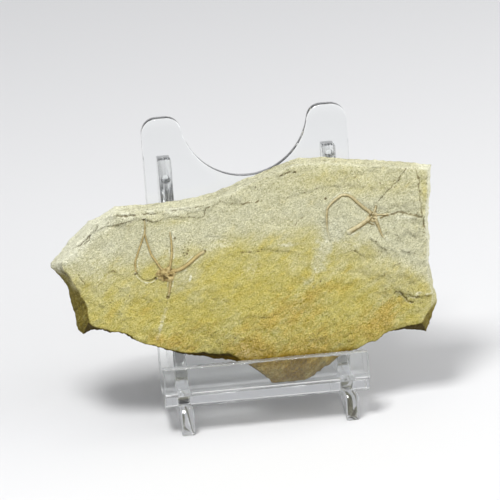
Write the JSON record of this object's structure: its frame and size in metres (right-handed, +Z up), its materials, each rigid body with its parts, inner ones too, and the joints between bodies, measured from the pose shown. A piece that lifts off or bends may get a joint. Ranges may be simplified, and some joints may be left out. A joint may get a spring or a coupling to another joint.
{
  "type": "fossil brittle-star slab on an easel",
  "caption": "Broken slab of fine-grained limestone with small fossil brittle stars on its face, leaning on a clear bent-sheet easel with a front ledge.",
  "frame": {"origin": "on the table, under the middle of the whole object's box", "axes": "+X across the slab to the viewer's right, +Y away from the viewer through the easel's back plate, +Z up"},
  "size_m": [0.1168, 0.057, 0.0898],
  "materials": {
    "limestone": "matte",
    "fossil_calcite": "matte",
    "clear_acrylic": "polished"
  },
  "bodies": {
    "root": {"slab": "limestone", "brittle_star_left": "fossil_calcite", "brittle_star_right": "fossil_calcite", "easel_plate": "clear_acrylic", "easel_leg_left": "clear_acrylic", "easel_leg_right": "clear_acrylic"}
  },
  "joints": []
}
